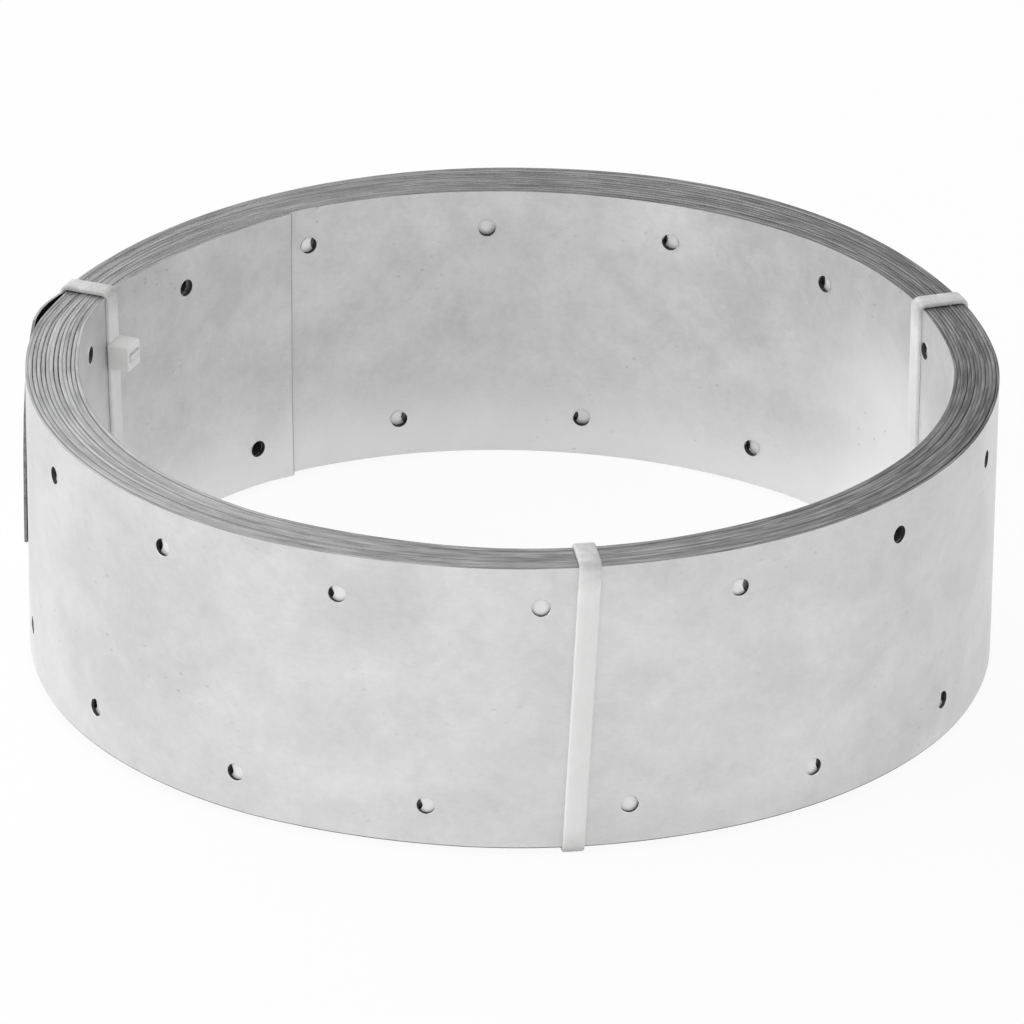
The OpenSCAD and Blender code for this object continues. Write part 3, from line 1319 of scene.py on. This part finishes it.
    def build(self, materials: list[bpy.types.Material]) -> bpy.types.Object:
        """Winds the strap and dresses it.

        Args:
            materials: the strap's finishes, by their numbers.

        Returns:
            The strap's object.
        """
        drawn = self.columns(self.holes())
        cols = [col for col, _ in drawn]
        pierced = 0
        for k, (col, hole) in enumerate(drawn[:-1]):
            self.edges(col, cols[k + 1])
            if hole is not None:
                self.pierce(hole, cols[k:k + 3])
                pierced = 2
            if pierced:
                self.pierced_faces(col, cols[k + 1])
                pierced -= 1
            else:
                self.plain_faces(col, cols[k + 1])
        self.cap(cols[0], True)
        self.cap(cols[-1], False)
        piece = self.sketch.to_object(self.name, materials, self.sharp_from)
        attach(piece, "root")
        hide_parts("strap")
        return piece

    def outside_at(self, at: float, reach: tuple[float, float]) -> float:
        """Gives the most that the outermost turn reaches out under a tie.

        Args:
            at: the tie's angle.
            reach: how far the tie lies to both sides of it.

        Returns:
            The radius.
        """
        whole = math.floor((self.run_end - at) / 360.0)
        return max(self.outer_r(at + 360.0 * whole + math.degrees(d / self.outer_r_usual), z)
                   for d in (reach[0], 0.0, reach[1])
                   for z in (self.foot_z, self.foot_z + self.width))

    def inside_at(self, at: float, reach: tuple[float, float]) -> float:
        """Gives the least radius, seen square on, of the innermost turn behind a tie.

        Args:
            at: the tie's angle.
            reach: how far the tie lies to both sides of it.

        Returns:
            The radius.
        """
        at = at if at >= self.inner_end else at + 360.0
        z = self.foot_z + self.width / 2.0
        sides = [(d, self.outer_r(at + math.degrees(d / self.inner_r_usual), z) - self.thickness)
                 for d in (reach[0], 0.0, reach[1])]
        return min(r * math.cos(d / r) for d, r in sides)


class TiePlace(Enum):
    """Where a tie is: its CAD node, its angle and its head's height, as a share."""

    FRONT = ("tie_front", 278.3, 0.45)
    LEFT = ("tie_left", 158.1, 0.78)
    RIGHT = ("tie_right", 18.5, 0.30)


@dataclass
class CableTie:
    """A closed cable tie: band round the coil, head inside it, end trimmed off."""

    where: TiePlace
    lean: float = 0.0
    shift: float = 0.0
    band_w: float = 3.6
    band_t: float = 0.78
    loop_h: float = 51.78
    floor_gap: float = 0.01
    bend: float = 0.75
    bend_steps: int = 8
    straight_step: float = 4.0
    clear: float = -0.07
    corner: float = 0.34
    under_corner: float = 0.06
    corner_steps: int = 3
    over_full: float = 1.4
    over_fade: float = 2.2
    sharp_from: float = 40.0
    head_zero: float = 0.9
    head_range: float = 50.0
    head_w: float = 4.9
    head_l: float = 4.8
    head_t: float = 4.2
    head_off: float = 0.25
    head_round: float = 0.6
    head_round_least: float = 0.1
    head_taper: float = 0.6
    head_break: float = 0.35
    break_steps: int = 3
    plate_steps: int = 4
    slot_w: float = 3.9
    slot_l: float = 1.9
    slot_depth: float = 0.7
    slot_round: float = 0.25
    slot_in_round: float = 0.2
    slot_inset: float = 0.1
    slot_break: float = 0.12
    stub_w: float = 3.5
    stub_t: float = 1.1
    stub_out: float = 0.25
    stub_root: float = 0.3
    stub_drop: float = 0.1
    stub_break: float = 0.08
    stub_round: float = 0.15
    stub_tip_round: float = 0.12
    sketch: MeshSketch = field(default_factory=MeshSketch)

    def put(self, out: float, across: float, z: float, along: float) -> int:
        """Adds a point of the tie.

        Args:
            out: the distance from the coil's axis, square to the band.
            across: the distance across the band.
            z: the height.
            along: how far along the band it is.

        Returns:
            The point's number.
        """
        turn = math.radians(self.where.value[1])
        side = across + self.shift + self.lean * (z / self.loop_h - 0.5)
        spot = Vector((out * math.cos(turn) - side * math.sin(turn),
                       out * math.sin(turn) + side * math.cos(turn), z))
        # The mask for the painted see-through shade: 1 where the band lies over the turns' edges,
        # fading along the runs.
        from_end = min(z, self.loop_h - z) / (self.over_fade * self.band_t)
        return self.sketch.point(spot, (along, across, out), smooth_step(self.over_full - from_end))

    def path(self, inside: float, outside: float) -> list[tuple[float, float, float, float]]:
        """Gives the band's middle line round the coil's section, as a closed loop.

        Args:
            inside: the radius of the coil's inner wall.
            outside: the radius of its outer wall.

        Returns:
            Distance out, height, and the direction away from the coil, at each point.
        """
        reach = self.bend + self.band_t / 2.0
        low = self.floor_gap + self.band_t + self.bend
        high = self.loop_h - self.band_t - self.bend
        near, far = inside - self.clear + self.bend, outside + self.clear - self.bend
        points = []
        for x, z, start in ((far, low, -90.0), (far, high, 0.0), (near, high, 90.0),
                            (near, low, 180.0)):
            for i in range(self.bend_steps + 1):
                turn = math.radians(start + 90.0 * i / self.bend_steps)
                points.append((x + reach * math.cos(turn), z + reach * math.sin(turn),
                               math.cos(turn), math.sin(turn)))
        full = []
        for i, a in enumerate(points):
            full.append(a)
            b = points[(i + 1) % len(points)]
            steps = int(math.hypot(b[0] - a[0], b[1] - a[1]) // self.straight_step)
            for s in range(1, steps + 1):
                share = s / (steps + 1.0)
                full.append(tuple(a[n] + (b[n] - a[n]) * share for n in range(4)))
        return full

    def section(self) -> list[tuple[float, float]]:
        """Gives the band's section with round edges: across, and away from the coil."""
        radii = (self.corner, self.corner, self.under_corner, self.under_corner)
        return rounded(self.band_w / 2.0, self.band_t / 2.0, radii, self.corner_steps)

    def draw_band(self, inside: float, outside: float) -> None:
        """Draws the band as a closed loop round the coil's section.

        Args:
            inside: the radius of the coil's inner wall.
            outside: the radius of its outer wall.
        """
        section, loops, along, last = self.section(), [], 0.0, None
        for out, z, away_x, away_z in self.path(inside, outside):
            along += math.hypot(out - last[0], z - last[1]) if last else 0.0
            last = (out, z)
            loops.append([self.put(out + off * away_x, across, z + off * away_z, along)
                          for across, off in section])
        for i, loop in enumerate(loops):
            self.sketch.band(loop, loops[(i + 1) % len(loops)])

    def plate(self, out: float, half_w: float, half_l: float, r: float, z_mid: float) -> list[int]:
        """Draws a loop of a rectangle with round corners, square to the band.

        Args:
            out: its distance from the coil's axis.
            half_w: half its width, across the band.
            half_l: half its length, along the band.
            r: the radius of its corners.
            z_mid: the height of its middle.

        Returns:
            The loop's points.
        """
        return [self.put(out, across, z_mid + up, up)
                for across, up in rounded(half_w, half_l, (r, r, r, r), self.plate_steps)]

    def stack(self, loops: list[list[int]]) -> None:
        """Joins loops into a closed body, from the coil's wall inwards.

        Args:
            loops: the loops, of as many points each.
        """
        for first, second in zip(loops, loops[1:]):
            self.sketch.band(second, first)
        self.sketch.face(loops[0])
        self.sketch.face(loops[-1][::-1])

    def draw_head(self, inside: float) -> None:
        """Draws the head with its slot, and the end of the band trimmed off in it.

        Args:
            inside: the radius of the coil's inner wall.
        """
        z_mid = self.head_zero + self.where.value[2] * self.head_range
        back, front = inside - self.head_off, inside - self.head_t
        turns = [math.radians(90.0 * i / self.break_steps) for i in range(self.break_steps + 1)]
        b = self.head_break
        breaks = [(b * (1.0 - math.sin(turn)), b * (1.0 - math.cos(turn))) for turn in turns]
        ends = [(back - sunk, inset) for sunk, inset in reversed(breaks)]
        ends += [(front + sunk, inset) for sunk, inset in breaks]
        head = [self.plate(out, self.head_w / 2.0 - inset, self.head_l / 2.0 - inset,
                           max(self.head_round - self.head_taper * inset, self.head_round_least),
                           z_mid) for out, inset in ends]
        slot_w, slot_l, inset = self.slot_w / 2.0, self.slot_l / 2.0, self.slot_inset
        head.append(self.plate(front, slot_w, slot_l, self.slot_round, z_mid))
        head += [self.plate(front + sunk, slot_w - inset, slot_l - inset, self.slot_in_round, z_mid)
                 for sunk in (self.slot_break, self.slot_depth)]
        self.stack(head)
        tip, cut = front - self.stub_out, self.stub_break
        self.stack([self.plate(out, self.stub_w / 2.0 - inset, self.stub_t / 2.0 - inset, r,
                               z_mid - self.stub_drop)
                    for out, inset, r in (
                        (front + self.slot_depth + self.stub_root, 0.0, self.stub_round),
                        (tip + cut, 0.0, self.stub_round), (tip, cut, self.stub_tip_round))])

    def build(self, coil: StrapCoil, nylon: bpy.types.Material) -> bpy.types.Object:
        """Draws the tie tight round the coil and dresses it.

        Args:
            coil: the coil that it holds.
            nylon: its material.

        Returns:
            The tie's object.
        """
        node, at, _ = self.where.value
        half = self.band_w / 2.0 + abs(self.lean) / 2.0
        reach = (self.shift - half, self.shift + half)
        inside, outside = coil.inside_at(at, reach), coil.outside_at(at, reach)
        self.draw_band(inside, outside)
        self.draw_head(inside)
        piece = self.sketch.to_object(node + "_nylon", [nylon], self.sharp_from)
        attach(piece, "root")
        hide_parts(node)
        return piece


@dataclass(frozen=True)
class SoftLamp:
    """A soft square lamp that points at the coil; its lengths are in metres."""

    name: str
    spot: tuple[float, float, float]
    side: float
    power: float
    aim: tuple[float, float, float] = (0.0, 0.0, 0.02)

    def hang(self) -> None:
        """Hangs the lamp."""
        data = bpy.data.lights.new(self.name, "AREA")
        data.shape, data.size, data.energy = "SQUARE", self.side, self.power
        lamp = bpy.data.objects.new(self.name, data)
        lamp.location = self.spot
        towards = Vector(self.aim) - Vector(self.spot)
        lamp.rotation_euler = towards.to_track_quat("-Z", "Y").to_euler()
        bpy.context.scene.collection.objects.link(lamp)


@dataclass
class Studio:
    """A white floor, soft light from all round and the camera."""

    eye_up: float = 25.321
    eye_roll: float = 0.487
    eye_away: float = 1399.6
    aim: tuple[float, float, float] = (0.342, 0.0, 22.38)
    lens: float = 292.3
    sensor: float = 36.0
    clip: tuple[float, float] = (0.05, 50.0)
    floor_side: float = 6.0
    floor_white: float = 0.9
    shown_white: float = 0.93
    fill: float = 0.35
    lamps: tuple[SoftLamp, ...] = (
        SoftLamp("key_left", (-1.72, -0.45, 1.1), 1.2, 15.7),
        SoftLamp("low_left", (-1.05, -1.4, 0.3), 0.5, 4.3),
        SoftLamp("right_soft", (1.4, -1.15, 0.75), 1.0, 7.6),
        SoftLamp("back_left", (-0.75, 1.4, 0.85), 1.4, 14.0),
        SoftLamp("top_soft", (0.0, 0.2, 1.7), 1.4, 5.5))

    def camera(self) -> None:
        """Sets up the camera at the photograph's angle."""
        up, roll = math.radians(self.eye_up), math.radians(self.eye_roll)
        back = Vector((0.0, -math.cos(up), math.sin(up)))
        level, rise = Vector((1.0, 0.0, 0.0)), Vector((0.0, math.sin(up), math.cos(up)))
        right = math.cos(roll) * level + math.sin(roll) * rise
        over = -math.sin(roll) * level + math.cos(roll) * rise
        spot = (Vector(self.aim) + back * self.eye_away) * MM
        data = bpy.data.cameras.new("photo_camera")
        data.lens, data.sensor_width = self.lens, self.sensor
        data.clip_start, data.clip_end = self.clip
        eye = bpy.data.objects.new("photo_camera", data)
        eye.matrix_world = Matrix((
            (right.x, over.x, back.x, spot.x), (right.y, over.y, back.y, spot.y),
            (right.z, over.z, back.z, spot.z), (0.0, 0.0, 0.0, 1.0)))
        bpy.context.scene.collection.objects.link(eye)
        bpy.context.scene.camera = eye

    @staticmethod
    def seen_white(sheet: NodeSheet) -> bpy.types.NodeSocket:
        """Gives 1 for the rays that show the background: camera, glossy, transmission.

        Args:
            sheet: the sheet of the floor or the world.

        Returns:
            The value's socket.
        """
        path = sheet.add("ShaderNodeLightPath")
        seen = sheet.math("MAXIMUM", path.outputs["Is Camera Ray"], path.outputs["Is Glossy Ray"])
        return sheet.math("MAXIMUM", seen, path.outputs["Is Transmission Ray"])

    def floor(self) -> None:
        """Lays a white floor that shows white, with the object's shadow on it."""
        half = self.floor_side / 2.0
        mesh = bpy.data.meshes.new("studio_floor")
        mesh.from_pydata([(-half, -half, 0.0), (half, -half, 0.0), (half, half, 0.0),
                          (-half, half, 0.0)], [], [(0, 1, 2, 3)])
        material = bpy.data.materials.new("studio_white")
        material.use_nodes = True
        material.node_tree.nodes.clear()
        sheet = NodeSheet(material.node_tree)
        paint = sheet.add("ShaderNodeBsdfDiffuse", Color=grey(self.floor_white))
        white = sheet.add("ShaderNodeEmission", Color=grey(1.0), Strength=1.0)
        share = sheet.math("MULTIPLY", self.seen_white(sheet), self.shown_white)
        mixed = sheet.add("ShaderNodeMixShader")
        sheet.put(mixed.inputs[0], share)
        sheet.put(mixed.inputs[1], paint.outputs[0])
        sheet.put(mixed.inputs[2], white.outputs[0])
        sheet.add("ShaderNodeOutputMaterial", Surface=mixed.outputs[0])
        mesh.materials.append(material)
        piece = bpy.data.objects.new("studio_floor", mesh)
        bpy.context.scene.collection.objects.link(piece)

    def world(self) -> None:
        """Surrounds the scene with white that lights a little less than it shows."""
        world = bpy.data.worlds.new("studio_world")
        world.use_nodes = True
        world.node_tree.nodes.clear()
        sheet = NodeSheet(world.node_tree)
        strength = sheet.total((self.seen_white(sheet), 1.0 - self.fill), base=self.fill)
        white = sheet.add("ShaderNodeBackground", Color=grey(1.0), Strength=strength)
        sheet.add("ShaderNodeOutputWorld", Surface=white.outputs[0])
        bpy.context.scene.world = world

    def build(self) -> None:
        """Builds the studio."""
        scene = bpy.context.scene
        scene.view_settings.view_transform = "Standard"
        self.camera()
        self.floor()
        self.world()
        for lamp in self.lamps:
            lamp.hang()


def main() -> None:
    """Builds the coil, the ties and the studio in order."""
    logging.basicConfig(level=logging.INFO, format="%(name)s: %(message)s")
    effects = SurfaceEffects()
    coil = StrapCoil()
    # Copies of the zinc with painted light and shade: the covered faces paler, as painted light on
    # the hole floors, and darkened near the edges; the inner wall darker, as painted shade, and
    # paler at its foot and one side.
    covered = ZincFace("zinc_covered_painted_light_shade", dull=0.82, bright=0.88, painted_gap_shade=0.55)
    inner = ZincFace("zinc_inner_painted_light_shade", dull=0.5, bright=0.77, painted_foot_light=0.66, painted_side_light=0.78)
    back = ZincFace("zinc_back_painted_light_shade", dull=0.92, bright=0.98, painted_gap_shade=0.3)
    steel = [finish.material(effects)
             for finish in (ZincFace(), CutEdge(), PunchedWall(), covered, inner, back)]
    made = [coil.build(steel)]
    nylon = TieNylon().material(effects)
    for where, lean, shift in ((TiePlace.FRONT, 2.3, 0.0), (TiePlace.LEFT, 3.2, 0.7),
                               (TiePlace.RIGHT, 0.0, 0.0)):
        made.append(CableTie(where, lean, shift).build(coil, nylon))
    Studio().build()
    for piece in made:
        LOG.info("%s: %d points, %d faces", piece.name, len(piece.data.vertices),
                 len(piece.data.polygons))
    bpy.context.view_layer.update()


if __name__ == "__main__":
    main()
